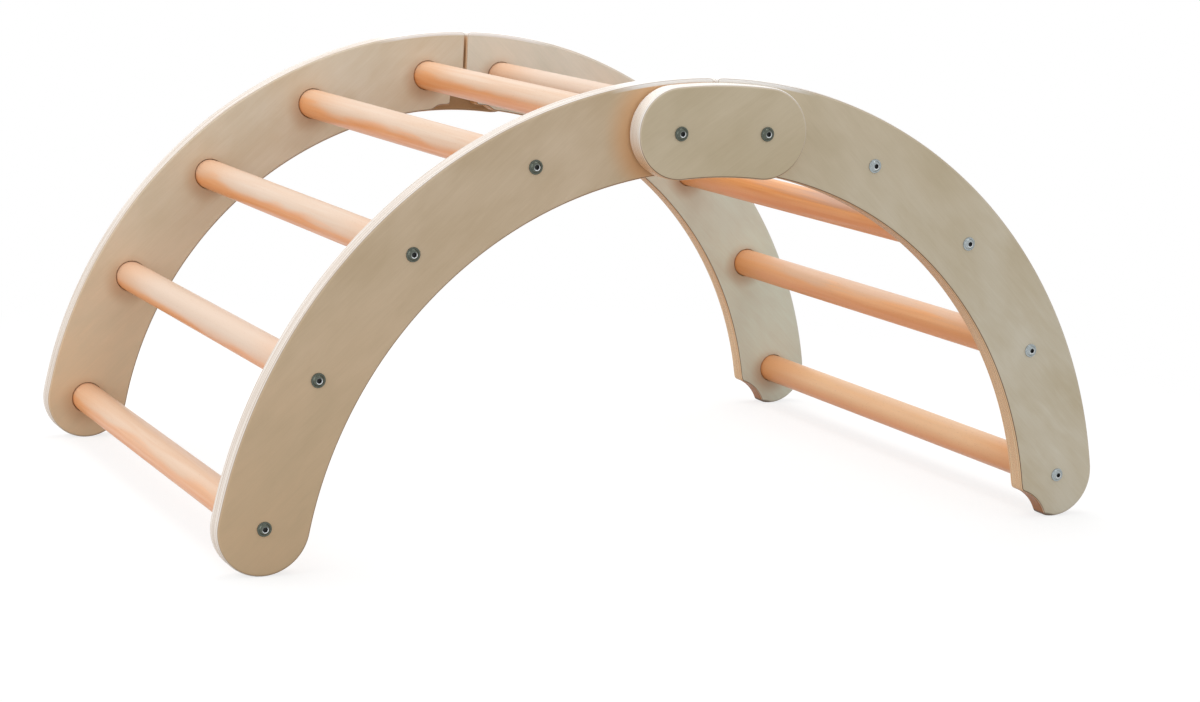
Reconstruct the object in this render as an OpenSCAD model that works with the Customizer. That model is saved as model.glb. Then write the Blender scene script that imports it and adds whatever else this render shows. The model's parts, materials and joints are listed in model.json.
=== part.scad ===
// A folding climbing arch for small children, which also rocks when it is turned over.
// Two half arches of plywood, each with five dowel rungs, meet at the crown. A pair of link
// plates on the outside carries the crown pivots, so that both halves fold inwards until the
// round foot of the left half lies in the hollow of the right one.
// +X runs along the arch, +Y across it from the near side to the far side, +Z is up.
// The origin is on the floor, in the middle of the arch.

/* [Arch] */
// Radius of the outer edge of the side panels
outer_r = 480; // [460:1:500]
// Width of a side panel, from its inner edge to its outer edge
panel_w = 88; // [84:1:92]
// Thickness of the plywood
ply_t = 21; // [18:1:24]
// Clear width between the side panels
inside_w = 564; // [480:1:640]
// Angle from the crown to the centre of a foot
foot_angle = 80; // [78:0.5:82]
// Radius of the rounded edges of the plywood
edge_r = 3; // [1:0.5:4]

/* [Rungs] */
// Diameter of a rung
rung_d = 32; // [28:1:36]
// Diameter of the blind recess that a rung sits in
recess_d = 33.4; // [33:0.1:37]
// Depth of that recess
recess_depth = 7; // [5:0.5:9]
// Chamfer on the ends of a rung
rung_chamfer = 1.5; // [0.5:0.5:3]

/* [Crown joint] */
// Distance between the two pivots
pivot_spacing = 91; // [89:1:95]
// How far the pivots lie inside the centre line of the panels
pivot_inset = 4; // [2:0.5:6]
// Gap between the butt faces of the two halves
crown_gap = 2.5; // [2:0.5:4]
// Width of the fold slot under the butt faces
slot_w = 31; // [30:0.5:34]
// Depth of the middle of the fold slot's round top below the pivots
slot_drop = 20; // [18:1:24]
// Depth of the shallow rebate's floor below the pivots
rebate_drop = 33.5; // [31:0.5:34]
// Half length of the rebate's floor
rebate_half = 31; // [26:1:33]
// Width of a link plate
plate_w = 87; // [84:1:90]
// How far the long edges of a link plate stand in from its round ends
plate_waist = 0.25; // [0.25:0.05:1]
// Thickness of the spacer between a link plate and a panel
spacer_t = 1; // [0.5:0.5:2]
// Outer diameter of that spacer
spacer_d = 22; // [18:1:28]
// Play on each side of a link plate
pivot_play = 0.3; // [0.2:0.1:0.5]
// Running clearance round a pivot screw
pivot_fit = 0.05; // [0.02:0.01:0.1]

/* [Foot nest] */
// How deep the left foot lies in the hollow of the right foot
nest_depth = 9.5; // [6:0.5:12]
// Clearance between the left foot and the hollow
nest_fit = 0.5; // [0.3:0.1:1]

/* [Screws] */
// Diameter of a screw's shank
screw_d = 6; // [5:0.5:8]
// Length of the screws that hold the rungs
screw_l = 30; // [26:1:32]
// Length of the pivot screws
pivot_screw_l = 50; // [46:1:52]
// Diameter of a screw's domed head
head_d = 10.5; // [10:0.5:12]
// Diameter of the flat on top of the head
head_flat_d = 5.8; // [5.2:0.1:6.4]
// Height of the head with its flange
head_h = 3.3; // [3:0.1:4]
// Diameter of the flange
flange_d = 13.6; // [13:0.1:16]
// Thickness of the flange
flange_t = 1.1; // [1:0.1:1.5]
// Size of the hexagon socket across its flats
socket_af = 4; // [3:0.5:4.5]
// Depth of the hexagon socket
socket_depth = 2.4; // [2:0.1:2.8]
// Outer diameter of a threaded insert
insert_d = 10; // [9:0.5:12]
// Length of a threaded insert
insert_l = 15; // [13:0.5:17]

/* [Hidden] */
rung_nodes = [for (half = ["left", "right"]) for (i = [1:5]) str(half, "_rung_", i)];
$fn = 96;

rungs = 5;                              // rungs in each half, the first at the pivot
last = rungs - 1;
past = 1;                               // how far a cutting tool runs past a face
hair = 0.02;                            // clearance round a part that is glued or screwed in
inner_r = outer_r - panel_w;            // inner edge of the panels
mid_r = outer_r - panel_w / 2;          // centre line of the panels, through the rungs
foot_r = panel_w / 2;                   // the feet are full rounds
pivot_r = mid_r - pivot_inset;
pivot_x = pivot_spacing / 2;
pivot_angle = asin(pivot_x / pivot_r);
centre_z = foot_r - mid_r * cos(foot_angle);    // height of the centre of the arcs
pivot_z = centre_z + pivot_r * cos(pivot_angle);
foot_x = mid_r * sin(foot_angle);
web_t = ply_t - recess_depth;           // plywood left behind a recess
rung_l = inside_w + 2 * recess_depth;
screw_hole_d = screw_d + 0.4;
insert_hole_l = insert_l + 3;
waist_w = plate_w - 2 * plate_waist;
plate_z = ply_t + spacer_t + pivot_play;        // inner face of a link plate, from a panel's
cap_z = plate_z + ply_t + pivot_play;           // seat of a pivot screw's flange

// Folded, the feet stand nest_gap apart, straight below the crown
nest_gap = panel_w - nest_depth;
reach = norm([foot_x - pivot_x, foot_r - pivot_z]);
rest_dip = atan2(pivot_z - foot_r, foot_x - pivot_x);
fold_angle = acos((nest_gap / 2 - pivot_x) / reach) - rest_dip;
echo(fold_angle = fold_angle, pivot_x = pivot_x, pivot_z = pivot_z, foot_x = foot_x);

birch = [0.80, 0.72, 0.58];
pale_edge = [0.84, 0.76, 0.62];
dowel = [0.93, 0.74, 0.55];
zinc = [0.62, 0.64, 0.66];
nylon = [0.90, 0.89, 0.85];
brass = [0.78, 0.66, 0.36];

// Angle from the crown, radius and place of rung i, where 0 is at the pivot
function rung_angle(i) = pivot_angle + i * (foot_angle - pivot_angle) / last;
function rung_radius(i) = i == 0 ? pivot_r : mid_r;
function rung_place(i) = [
    rung_radius(i) * sin(rung_angle(i)),
    centre_z + rung_radius(i) * cos(rung_angle(i))
];

// Everything is drawn for the right half on the near side and mirrored from there.
// On a wall, x and y run along the panel, and z runs outwards from its inner face.
module on_side(side) {
    if (side == "near") children();
    else mirror([0, 1, 0]) children();
}
module on_half(half) {
    if (half == "right") children();
    else mirror([1, 0, 0]) children();
}
module on_wall(side, half) {
    on_side(side) on_half(half) translate([0, -inside_w / 2, 0]) rotate([90, 0, 0]) children();
}
module at_rung(i) {
    translate(concat(rung_place(i), 0)) children();
}

// Section through a strip of plywood of width w with rounded edges
module ply_section(w) {
    translate([edge_r, 0]) square([w - 2 * edge_r, ply_t]);
    translate([0, edge_r]) square([w, ply_t - 2 * edge_r]);
    for (x = [edge_r, w - edge_r], y = [edge_r, ply_t - edge_r])
        translate([x, y]) circle(edge_r);
}

// Half of that section, from the middle of the strip to one edge
module half_section(w) {
    intersection() {
        translate([-w / 2, 0]) ply_section(w);
        square([w, ply_t]);
    }
}

// An arc of plywood from the angle from_a to to_a, both counted from the crown
module ply_arc(r_in, w, from_a, to_a) {
    translate([0, centre_z, 0]) rotate(90 - to_a)
        rotate_extrude(angle = to_a - from_a) translate([r_in, 0]) ply_section(w);
}

// A disc of plywood that makes the end of a strip of width w a full round
module ply_end(w) {
    rotate_extrude() half_section(w);
}

// What is cut away at the crown, so that a half clears the other one as it folds
module crown_cut() {
    slot_z = pivot_z - slot_drop;
    rebate_z = pivot_z - rebate_drop;
    below = pivot_z - centre_z - inner_r + panel_w / 4;
    translate([-panel_w, pivot_z - panel_w, -past])
        cube([panel_w + crown_gap / 2, 2 * panel_w, ply_t + 2 * past]);
    translate([0, slot_z, -past]) cylinder(d = slot_w, h = ply_t + 2 * past);
    translate([-slot_w / 2, pivot_z - below, -past])
        cube([slot_w, below - slot_drop, ply_t + 2 * past]);
    translate([0, 0, -past]) linear_extrude(ply_t + 2 * past) polygon([
        [0, rebate_z],
        [rebate_half, rebate_z],
        [rebate_half + below - rebate_drop, pivot_z - below],
        [0, pivot_z - below]
    ]);
}

// The hollow that the left foot lies in when the arch is folded
module nest_cut() {
    translate([foot_x - nest_gap * cos(fold_angle), foot_r - nest_gap * sin(fold_angle), -past])
        cylinder(r = foot_r + nest_fit, h = ply_t + 2 * past);
}

module panel(side, half) {
    color(birch) on_wall(side, half) difference() {
        union() {
            ply_arc(inner_r, panel_w, 0, foot_angle);
            at_rung(last) ply_end(panel_w);
        }
        crown_cut();
        if (half == "right") nest_cut();
        for (i = [0:last]) at_rung(i) {
            translate([0, 0, -past]) cylinder(d = recess_d, h = recess_depth + past);
            cylinder(d = screw_hole_d, h = ply_t + past);
        }
    }
}

// A link plate is the same from both ends, so the far one is the near one turned round
module link_plate(turn) {
    color(pale_edge) rotate(turn) on_wall("near", "right") translate([0, 0, plate_z]) difference() {
        union() {
            ply_arc(pivot_r - waist_w / 2, waist_w, -pivot_angle, pivot_angle);
            for (x = [-pivot_x, pivot_x]) translate([x, pivot_z, 0]) ply_end(plate_w);
        }
        for (x = [-pivot_x, pivot_x]) translate([x, pivot_z, -past])
            cylinder(d = screw_d + 2 * pivot_fit, h = ply_t + 2 * past);
    }
}

// A dowel with chamfered ends, drilled at both ends for its inserts
module rung(half, i) {
    r = rung_d / 2;
    color(dowel) on_wall("near", half) at_rung(i) translate([0, 0, recess_depth]) rotate([180, 0, 0])
        difference() {
            rotate_extrude() polygon([
                [0, 0],
                [r - rung_chamfer, 0],
                [r, rung_chamfer],
                [r, rung_l - rung_chamfer],
                [r - rung_chamfer, rung_l],
                [0, rung_l]
            ]);
            for (z = [-past, rung_l - insert_hole_l])
                translate([0, 0, z]) cylinder(d = insert_d + 2 * hair, h = insert_hole_l + past);
        }
}

// A flanged button-head screw that stands on z = 0, with its shank of length l below
module screw(l) {
    dome_r = head_d / 2;
    flat_r = head_flat_d / 2;
    rise = head_h - flange_t;
    // the dome is part of a ball whose centre is drop below the top of the flange
    drop = (dome_r * dome_r - flat_r * flat_r - rise * rise) / (2 * rise);
    ball_r = norm([dome_r, drop]);
    difference() {
        union() {
            rotate_extrude() {
                square([flange_d / 2 - flange_t / 2, flange_t]);
                translate([flange_d / 2 - flange_t / 2, flange_t / 2]) circle(flange_t / 2);
                intersection() {
                    translate([0, flange_t - drop]) circle(ball_r);
                    square([dome_r, head_h]);
                }
            }
            translate([0, 0, -l]) cylinder(d = screw_d, h = l);
        }
        translate([0, 0, head_h - socket_depth])
            cylinder(d = socket_af / cos(30), h = socket_depth + past, $fn = 6);
    }
}

module rung_screws(side, half) {
    color(zinc) on_wall(side, half) for (i = [1:last])
        at_rung(i) translate([0, 0, ply_t]) screw(screw_l);
}

module pivot_screw(side, half) {
    color(zinc) on_wall(side, half) at_rung(0) translate([0, 0, cap_z]) screw(pivot_screw_l);
}

module spacer(side, half) {
    color(nylon) on_wall(side, half) at_rung(0) translate([0, 0, ply_t]) difference() {
        cylinder(d = spacer_d, h = spacer_t);
        translate([0, 0, -past]) cylinder(d = screw_hole_d, h = spacer_t + 2 * past);
    }
}

// Threaded sleeves with three raised rings, one in the end of each rung
module inserts(side, half) {
    core_r = insert_d / 2 - 0.8;
    ring_l = 1.5;
    color(brass) on_wall(side, half) for (i = [0:last])
        at_rung(i) translate([0, 0, recess_depth - insert_l]) difference() {
            union() {
                cylinder(r = core_r, h = insert_l);
                for (k = [0:2]) translate([0, 0, insert_l - (2 * k + 1) * 2 * ring_l])
                    cylinder(d = insert_d, h = ring_l);
            }
            translate([0, 0, -past]) cylinder(d = screw_d + 2 * hair, h = insert_l + 2 * past);
        }
}

panel("near", "left");  // near_left_panel
panel("far", "left");  // far_left_panel
panel("near", "right");  // near_right_panel
panel("far", "right");  // far_right_panel
link_plate(0);  // near_link_plate
link_plate(180);  // far_link_plate
for (half = ["left", "right"], i = [1:rungs])
    rung(half, i - 1);
for (side = ["near", "far"], half = ["left", "right"]) {
    rung_screws(side, half);
    pivot_screw(side, half);
    spacer(side, half);
    inserts(side, half);
}
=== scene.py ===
# %% [markdown]
# # A folding climbing and rocking arch
# The real thing is two half arches of birch plywood, joined at the crown by a pair of link
# plates, with ten beech dowels between its sides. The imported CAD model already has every
# piece in its place, so this lesson gives each visible piece a finer surface and its finish.
# Everything is in metres: +X runs along the arch, +Y from the near side to the far side.

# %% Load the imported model
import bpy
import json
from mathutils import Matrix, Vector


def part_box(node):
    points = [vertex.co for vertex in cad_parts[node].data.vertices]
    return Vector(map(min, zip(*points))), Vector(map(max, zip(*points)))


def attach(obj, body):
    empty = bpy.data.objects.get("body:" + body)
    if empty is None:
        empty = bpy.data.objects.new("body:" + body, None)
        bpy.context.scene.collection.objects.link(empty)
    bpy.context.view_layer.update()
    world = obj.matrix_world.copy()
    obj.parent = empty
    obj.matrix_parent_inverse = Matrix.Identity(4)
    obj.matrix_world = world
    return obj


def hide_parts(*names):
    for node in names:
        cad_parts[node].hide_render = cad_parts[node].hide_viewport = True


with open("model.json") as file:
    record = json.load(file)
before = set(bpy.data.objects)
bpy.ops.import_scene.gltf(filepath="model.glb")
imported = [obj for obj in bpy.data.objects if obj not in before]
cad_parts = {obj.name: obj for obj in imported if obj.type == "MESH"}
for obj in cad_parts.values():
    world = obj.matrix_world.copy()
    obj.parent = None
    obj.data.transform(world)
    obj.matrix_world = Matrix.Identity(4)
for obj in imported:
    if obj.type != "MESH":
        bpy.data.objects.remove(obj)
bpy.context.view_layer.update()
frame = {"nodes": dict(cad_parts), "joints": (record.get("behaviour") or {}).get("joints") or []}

# %% [markdown]
# ## Modules
# numpy works out every surface as whole arrays. bpy and bmesh turn the arrays into meshes, and
# mathutils has the fill for the flat faces and the vectors that aim the lamps and the camera.

# %% Modules
import json
import math

import bmesh
import bpy
import numpy as np
from mathutils import Matrix, Vector
from mathutils.geometry import delaunay_2d_cdt

print("Blender", bpy.app.version_string, "with numpy", np.__version__)

# %% [markdown]
# ## Sizes
# These are the real sizes in millimetres. The dowels' places could be typed in again, but they
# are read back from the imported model, so the new surfaces sit exactly where the solids are.

# %% Sizes
MM = 0.001
OUTER_R, PANEL_W, PLY_T, FOOT_ANGLE = 480.0, 88.0, 21.0, 80.0
INNER_R, MID_R, FOOT_R = OUTER_R - PANEL_W, OUTER_R - PANEL_W / 2, PANEL_W / 2
EDGE_R = 3.0                # the round-over along the boards' edges


def middle(node_name):
    """The middle of a CAD node's box, as an array in mm."""
    low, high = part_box(node_name)
    return (np.array(low) + np.array(high)) / 2 / MM


rung_places = {name: middle(name) for name in frame["nodes"] if "_rung_" in name}
pivot_x, _, pivot_z = rung_places["right_rung_1"]
foot_x, _, foot_z = rung_places["right_rung_5"]
centre_z = foot_z - MID_R * math.cos(math.radians(FOOT_ANGLE))
ARCH_CENTRE = (0.0, centre_z)
PANEL_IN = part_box("far_left_panel")[0].y / MM      # inner face of a side panel
PLATE_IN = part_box("far_link_plate")[0].y / MM      # inner face of a link plate
print("dowels:", len(rung_places), "pivot", round(pivot_x, 2), round(pivot_z, 2),
      "inner faces at", round(PANEL_IN, 2), round(PLATE_IN, 2))

# %% [markdown]
# ## From arrays to objects
# Every surface below is worked out as numpy arrays. This cell turns such arrays into a mesh
# object that rides on its body. Smooth shading with a Weighted Normal modifier keeps the
# flat faces flat and lets the light roll round the edges, as on a sanded board.

# %% Mesh helper
CREASE = math.radians(38)
MERGE = 2e-6                # points closer than this, in metres, are one


def grid_faces(rows, columns, start=0):
    """Four corners for each cell of a grid of points whose columns close into a ring: this
    point, the next in its row, and the two of the next row."""
    r, c = np.meshgrid(np.arange(rows - 1), np.arange(columns), indexing="ij")
    nxt = (c + 1) % columns
    below = (r + 1) * columns
    corners = [r * columns + c, r * columns + nxt, below + nxt, below + c]
    return start + np.stack(corners, -1).reshape(-1, 4)


def make_piece(name, points_mm, faces, body, replaced, own=None):
    """A mesh object from points in mm, merged, with its faces turned outwards. own maps the
    name of an attribute to one value for each point, for the shader to read."""
    mesh = bpy.data.meshes.new(name)
    mesh.from_pydata((np.asarray(points_mm) * MM).tolist(), [], [list(f) for f in faces])
    for key, values in (own or {}).items():
        field = mesh.attributes.new(key, "FLOAT", "POINT")
        field.data.foreach_set("value", np.ravel(values).astype(np.float32))
    work = bmesh.new()
    work.from_mesh(mesh)
    bmesh.ops.remove_doubles(work, verts=work.verts, dist=MERGE)
    bmesh.ops.recalc_face_normals(work, faces=work.faces)
    open_edges = sum(len(e.link_faces) != 2 for e in work.edges)
    work.to_mesh(mesh)
    work.free()
    mesh.shade_smooth()
    mesh.set_sharp_from_angle(angle=CREASE)
    piece = bpy.data.objects.new(name, mesh)
    bpy.context.scene.collection.objects.link(piece)
    finish = piece.modifiers.new("even_normals", "WEIGHTED_NORMAL")
    finish.keep_sharp = True
    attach(piece, body)
    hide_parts(replaced)
    print(f"{name}: {len(mesh.vertices)} points, {len(mesh.polygons)} faces,",
          f"{open_edges} open edges")
    return piece


print("two rings of 6 points make", len(grid_faces(2, 6)), "faces")

# %% [markdown]
# ## The boards' outlines
# A side board is an arc of plywood with a full round foot, a butt face at the crown, a fold
# slot and a shallow rebate under it. The right boards also have a hollow that the left feet
# lie in when the arch is folded. Boolean cuts could make it, but they leave sharp, uneven
# corners. Here the outline is a chain of arcs and corners. It is sampled evenly and then
# sanded: each point moves towards its neighbours, which rounds the corners as sandpaper does
# and leaves the long arcs alone.

# %% Lines and arcs
STEP = 0.8                  # mm between the points of an outline
SANDING, PLATE_SANDING, AT_FEET = 40, 8, 10


def arc(centre, radius, start, end):
    """Points on a circle: the centre plus the radius times the sine and the cosine of the
    angle, which is in degrees, clockwise from straight up."""
    count = max(3, int(abs(math.radians(end - start)) * radius / STEP))
    a = np.radians(np.linspace(start, end, count))
    return np.column_stack([centre[0] + radius * np.sin(a), centre[1] + radius * np.cos(a)])


def bearing(centre, point):
    """The angle of a point seen from a circle's centre, clockwise from straight up."""
    return math.degrees(math.atan2(point[0] - centre[0], point[1] - centre[1])) % 360


def sanded(chain, passes=SANDING):
    """The closed line at even steps, smoothed by moving each point halfway towards the
    middle of its two neighbours, passes times. Round the feet only the first few passes
    work, so the corners of the hollow stay crisp."""
    closed = np.vstack(chain + [chain[0][:1]])
    length = np.r_[0, np.cumsum(np.linalg.norm(np.diff(closed, axis=0), axis=1))]
    at = np.linspace(0, length[-1], int(length[-1] / STEP), endpoint=False)
    line = np.column_stack([np.interp(at, length, closed[:, k]) for k in (0, 1)])
    for number in range(passes):
        works = (line[:, :1] < foot_x / 2) | (number < AT_FEET)
        line += 0.5 * works * ((np.roll(line, 1, 0) + np.roll(line, -1, 0)) / 2 - line)
    return line


def crossing(a, ra, b, rb):
    """The two points where two circles cross: along the line between their centres by the
    part that the radii give, and then across it to either side."""
    a, b = np.array(a), np.array(b)
    d = np.linalg.norm(b - a)
    along = (ra ** 2 - rb ** 2 + d ** 2) / (2 * d)
    across = math.sqrt(ra ** 2 - along ** 2)
    u = (b - a) / d
    between, aside = a + along * u, across * np.array([-u[1], u[0]])
    return between + aside, between - aside


print("a round foot takes", len(arc((0, 0), FOOT_R, 0, 180)), "points")

# %% Outlines
CROWN_GAP, SLOT_W, SLOT_DROP = 2.5, 31.0, 20.0
REBATE_DROP, REBATE_HALF = 33.5, 31.0
SLOPE_SEARCH, SLOPE_STEPS = 12.0, 400       # how far and how finely its end is looked for
NEST_DEPTH, NEST_FIT = 9.5, 0.5
PLATE_W = 87.0
foot = (foot_x, foot_z)
slot_centre = (0.0, pivot_z - SLOT_DROP)
rebate_z = pivot_z - REBATE_DROP
fold = math.radians(frame["joints"][0]["range_deg"][1])
nest_gap = PANEL_W - NEST_DEPTH
nest = (foot_x - nest_gap * math.cos(fold), foot_z - nest_gap * math.sin(fold))


def half_outline(with_nest):
    """The right half's outline, clockwise seen from the near side, from the top of the butt."""
    lead = math.degrees(math.asin(CROWN_GAP / 2 / OUTER_R))
    chain = [arc(ARCH_CENTRE, OUTER_R, lead, FOOT_ANGLE)]
    if with_nest:
        upper, lower = crossing(nest, FOOT_R + NEST_FIT, foot, FOOT_R)
        chain += [arc(foot, FOOT_R, FOOT_ANGLE, bearing(foot, lower)),
                  arc(nest, FOOT_R + NEST_FIT, bearing(nest, lower), bearing(nest, upper)),
                  arc(foot, FOOT_R, bearing(foot, upper), FOOT_ANGLE + 180)]
    else:
        chain += [arc(foot, FOOT_R, FOOT_ANGLE, FOOT_ANGLE + 180)]
    # the rebate's end runs down at 45 degrees until it meets the inner arc
    x = np.linspace(REBATE_HALF, REBATE_HALF + SLOPE_SEARCH, SLOPE_STEPS)
    above_arc = rebate_z - (x - REBATE_HALF) - centre_z - np.sqrt(INNER_R ** 2 - x ** 2)
    meets = x[np.argmin(abs(above_arc))]
    chain += [arc(ARCH_CENTRE, INNER_R, FOOT_ANGLE, math.degrees(math.asin(meets / INNER_R))),
              np.array([[REBATE_HALF, rebate_z], [SLOT_W / 2, rebate_z]]),
              arc(slot_centre, SLOT_W / 2, 90, math.degrees(math.asin(CROWN_GAP / SLOT_W)))]
    return sanded(chain)


def plate_outline():
    """A link plate: a short arc through both pivots with a round end about each."""
    turn = bearing(ARCH_CENTRE, (pivot_x, pivot_z))
    middle_r = math.hypot(pivot_x, pivot_z - centre_z)
    right, left = (pivot_x, pivot_z), (-pivot_x, pivot_z)
    return sanded([arc(ARCH_CENTRE, middle_r + PLATE_W / 2, -turn, turn),
                   arc(right, PLATE_W / 2, turn, turn + 180),
                   arc(ARCH_CENTRE, middle_r - PLATE_W / 2, turn, -turn),
                   arc(left, PLATE_W / 2, 180 - turn, 360 - turn)], PLATE_SANDING)


def mirrored(outline):
    """The other half: x changes sign, and the order turns round so it stays clockwise."""
    return outline[::-1] * (-1, 1)


right_outline, left_outline = half_outline(True), mirrored(half_outline(False))
print("outline points:", len(right_outline), len(left_outline), "nest at", np.round(nest, 1))

# %% [markdown]
# ## A board from its outline
# A router with a round-over bit runs round both edges of each board. A Bevel modifier could
# follow, but it would stumble over the many short edges of the outline. So the router's way is
# taken: a quarter circle is carried along the outline, and each ring of points is the outline
# moved inwards along its own normals. The faces are filled with triangles that leave the bores
# open, and each bore is a stepped profile turned about its axis.

# %% Rims and bores
ROUND_STEPS = 6
HAIR = 0.03                 # keeps the skin just inside the solid's own
BORE_COLUMNS = 56


def inward_rings(outline, thickness):
    """Rings of the board's skin: inset = e(1 - cos q) + a hair and height = e(1 - sin q) from
    either face, for q from 90 degrees at the face to 0 on the side."""
    tangent = np.roll(outline, -1, 0) - np.roll(outline, 1, 0)
    tangent /= np.linalg.norm(tangent, axis=1, keepdims=True)
    normal = np.column_stack([-tangent[:, 1], tangent[:, 0]])
    q = np.radians(np.linspace(90, 0, ROUND_STEPS + 1))
    inset = EDGE_R * (1 - np.cos(q)) + HAIR
    height = EDGE_R * (1 - np.sin(q))
    inset = np.r_[inset, inset[::-1]]
    height = np.r_[height, thickness - height[::-1]]
    flat = outline[None] - inset[:, None, None] * normal[None]
    y = np.broadcast_to(height[:, None], flat.shape[:2])
    return np.dstack([flat[..., 0], y, flat[..., 1]])


def bore(place, profile):
    """A bore about an axis along Y: each (radius, height) of the profile becomes a ring."""
    a = np.linspace(0, 2 * np.pi, BORE_COLUMNS, endpoint=False)
    r, h = np.array(profile, float).T
    y = np.broadcast_to(h[:, None], (len(h), len(a)))
    return np.dstack([place[0] + r[:, None] * np.cos(a), y, place[1] + r[:, None] * np.sin(a)])


print("rings round a board's edge:", 2 * (ROUND_STEPS + 1))

# %% Board surface
INSIDE_ONLY, FILL_FINENESS = 1, 1e-6        # the fill's mode, and its tolerance in mm


def cap(points, loops):
    """Triangles over a face: those between the loops, without the ones inside a bore, whose
    three corners all belong to that bore."""
    sizes = [len(loop) for loop in loops]
    index = np.concatenate(loops)
    owner = np.repeat(np.arange(len(loops)), sizes)
    starts = np.repeat(np.cumsum([0] + sizes[:-1]), sizes)
    lengths = np.repeat(sizes, sizes)
    here = np.arange(len(index))
    edges = np.column_stack([here, starts + (here - starts + 1) % lengths]).tolist()
    # the fill takes its corners as Vectors and says for each which one it came from
    flat = [Vector(p) for p in points[index][:, [0, 2]].tolist()]
    _, _, triangles, origin, _, _ = delaunay_2d_cdt(flat, edges, [], INSIDE_ONLY, FILL_FINENESS)
    back = np.array([o[0] for o in origin])
    triangles = back[np.array(triangles)]
    in_bore = (owner[triangles] == owner[triangles[:, :1]]).all(1) & (owner[triangles[:, 0]] > 0)
    return index[triangles[~in_bore]].tolist()


def board(outline, thickness, bores):
    """Points and faces of a board that lies on height 0. bores is a list of (place, profile),
    with each profile running from height 0 to the board's thickness."""
    skin = inward_rings(outline, thickness)
    points, faces = [skin.reshape(-1, 3)], grid_faces(*skin.shape[:2]).tolist()
    rim = np.arange(len(outline))
    caps = [[rim], [len(points[0]) - len(outline) + rim]]
    count = len(points[0])
    for place, profile in bores:
        rings = bore(place, profile)
        faces += grid_faces(*rings.shape[:2], count).tolist()
        caps[0].append(count + np.arange(BORE_COLUMNS))
        caps[1].append(count + (len(profile) - 1) * BORE_COLUMNS + np.arange(BORE_COLUMNS))
        points.append(rings.reshape(-1, 3))
        count += len(points[-1])
    points = np.vstack(points)
    for loops in caps:
        faces += cap(points, loops)
    return points, faces


def place_board(name, points, faces, inner_face, far, body, replaced):
    """Stands a board with its height 0 at its inner face, on the near or the far side."""
    side = 1 if far else -1
    points = points * (1, side, 1) + (0, side * inner_face, 0)
    return make_piece(name, points, faces, body, replaced)


# %% [markdown]
# ## The four side boards
# Each board has a blind recess for the end of every dowel, and a hole for its screw behind it.
# All rims are eased by hand, which a profile with a small slope at either end gives at once.

# %% Side boards
RECESS_R, RECESS_DEPTH, HOLE_R, EASE = 16.7, 7.0, 3.2, 0.4
dowel_bore = [(RECESS_R + EASE, 0), (RECESS_R, EASE), (RECESS_R, RECESS_DEPTH),
              (HOLE_R, RECESS_DEPTH), (HOLE_R, PLY_T - EASE), (HOLE_R + EASE, PLY_T)]
boards = []
for half, outline in (("left", left_outline), ("right", right_outline)):
    bores = [(place[[0, 2]], dowel_bore)
             for name, place in rung_places.items() if name.startswith(half)]
    points, faces = board(outline, PLY_T, bores)
    boards += [place_board(f"{side}_{half}_board", points, faces, PANEL_IN, side == "far",
                           f"{half}_half", f"{side}_{half}_panel") for side in ("near", "far")]

# %% [markdown]
# ## The link plates
# A link plate is a small board of the same plywood with a hole at each pivot. It goes through
# the same functions as the side boards, so its edges and rims match theirs.

# %% Link plates
PIVOT_HOLE_R = 3.05
plate_bore = [(PIVOT_HOLE_R + EASE, 0), (PIVOT_HOLE_R, EASE), (PIVOT_HOLE_R, PLY_T - EASE),
              (PIVOT_HOLE_R + EASE, PLY_T)]
pivot_bores = [((sign * pivot_x, pivot_z), plate_bore) for sign in (-1, 1)]
points, faces = board(plate_outline(), PLY_T, pivot_bores)
plates = [place_board(f"{side}_crown_plate", points, faces, PLATE_IN, side == "far",
                      "link_plates", f"{side}_link_plate") for side in ("near", "far")]

# %% [markdown]
# ## Dowels
# A dowel is turned. A cylinder with a Bevel modifier would do for its outside, but its ends are
# drilled for the threaded inserts, so one profile with rounded rims and both drilled holes is
# carried once round the axis. Two attributes go with each point: how far up it lies on the
# dowel, and how much painted light this dowel has on top. No two dowels are cut alike.

# %% Dowel surface
DOWEL_R, DOWEL_EASE, DRILL_R, DRILL_DEPTH, DRILL_EASE = 16.0, 1.5, 5.02, 18.0, 0.3
RIM_STEPS, TURNED_COLUMNS = 7, 72


def turned(profile, columns, bulge=lambda r, h, a: r):
    """A profile of (radius, height) carried round an axis: radius times the cosine and the
    sine of the angle, at its height. bulge can reshape each ring."""
    a = np.linspace(0, 2 * np.pi, columns, endpoint=False)
    r, h = profile[:, :1], profile[:, 1:]
    r = bulge(r, h, a) * np.ones_like(a)
    return np.dstack([r * np.cos(a), np.broadcast_to(h, r.shape), r * np.sin(a)])


dowel_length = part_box("left_rung_2")[1].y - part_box("left_rung_2")[0].y      # in metres
dowel_half = rung_places["left_rung_2"][1] + dowel_length / 2 / MM
q = np.radians(np.linspace(0, 90, RIM_STEPS))
rim = np.column_stack([DOWEL_R - DOWEL_EASE * (1 - np.sin(q)),
                       dowel_half - DOWEL_EASE * (1 - np.cos(q))])
one_end = np.vstack([[0, dowel_half - DRILL_DEPTH], [DRILL_R, dowel_half - DRILL_DEPTH],
                     [DRILL_R, dowel_half - DRILL_EASE], [DRILL_R + DRILL_EASE, dowel_half], rim])
profile = np.vstack([one_end, one_end[::-1] * (1, -1)])
print("half a dowel is", round(dowel_half, 2), "mm long, with", len(profile), "rings in all")

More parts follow.
